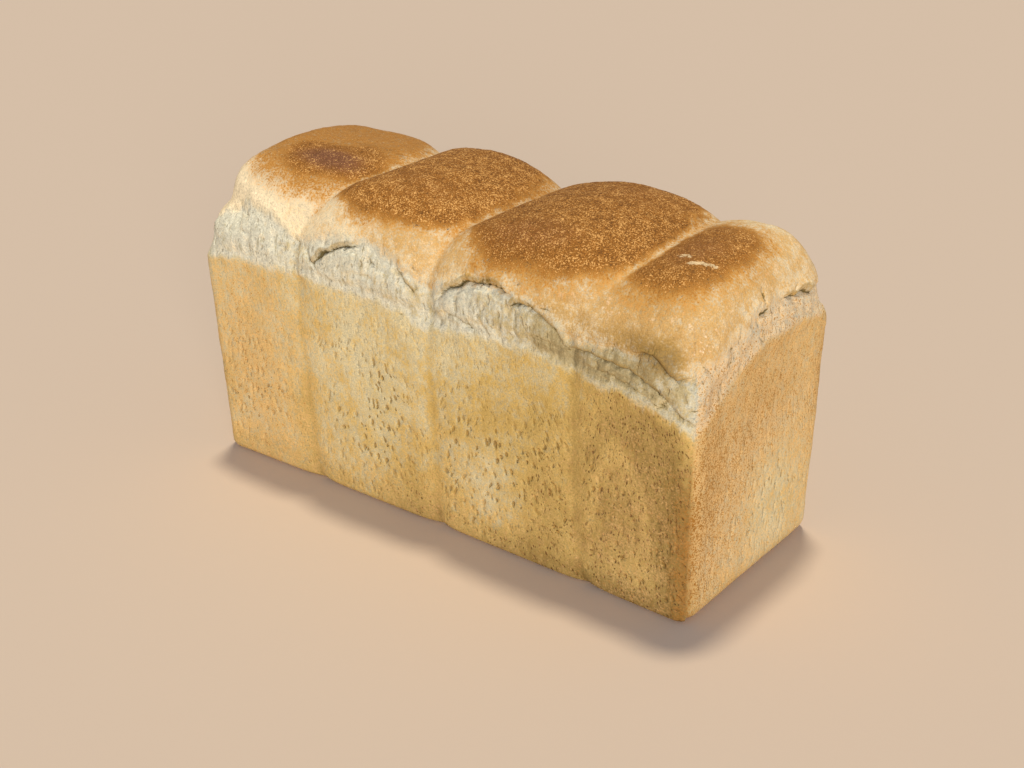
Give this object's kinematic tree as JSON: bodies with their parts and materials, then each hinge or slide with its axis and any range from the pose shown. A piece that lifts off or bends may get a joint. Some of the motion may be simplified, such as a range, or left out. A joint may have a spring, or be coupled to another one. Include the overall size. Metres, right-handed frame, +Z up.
{
  "type": "wholemeal tin loaf",
  "caption": "Uncut wholemeal tin loaf with a flat base, a browned lobed crown and a torn pale band of dough above the rim.",
  "frame": {"origin": "middle of the loaf's bounding box in plan, on the surface that it stands on", "axes": "+X along the loaf, -Y towards the long side with the larger tears, +Z up"},
  "size_m": [0.2694, 0.1062, 0.1486],
  "materials": {
    "crust": "matt browned wholemeal crust, golden on the tin sides, pale where the dough has torn, dark brown on the crown"
  },
  "bodies": {
    "root": {"loaf": "crust"}
  },
  "joints": []
}
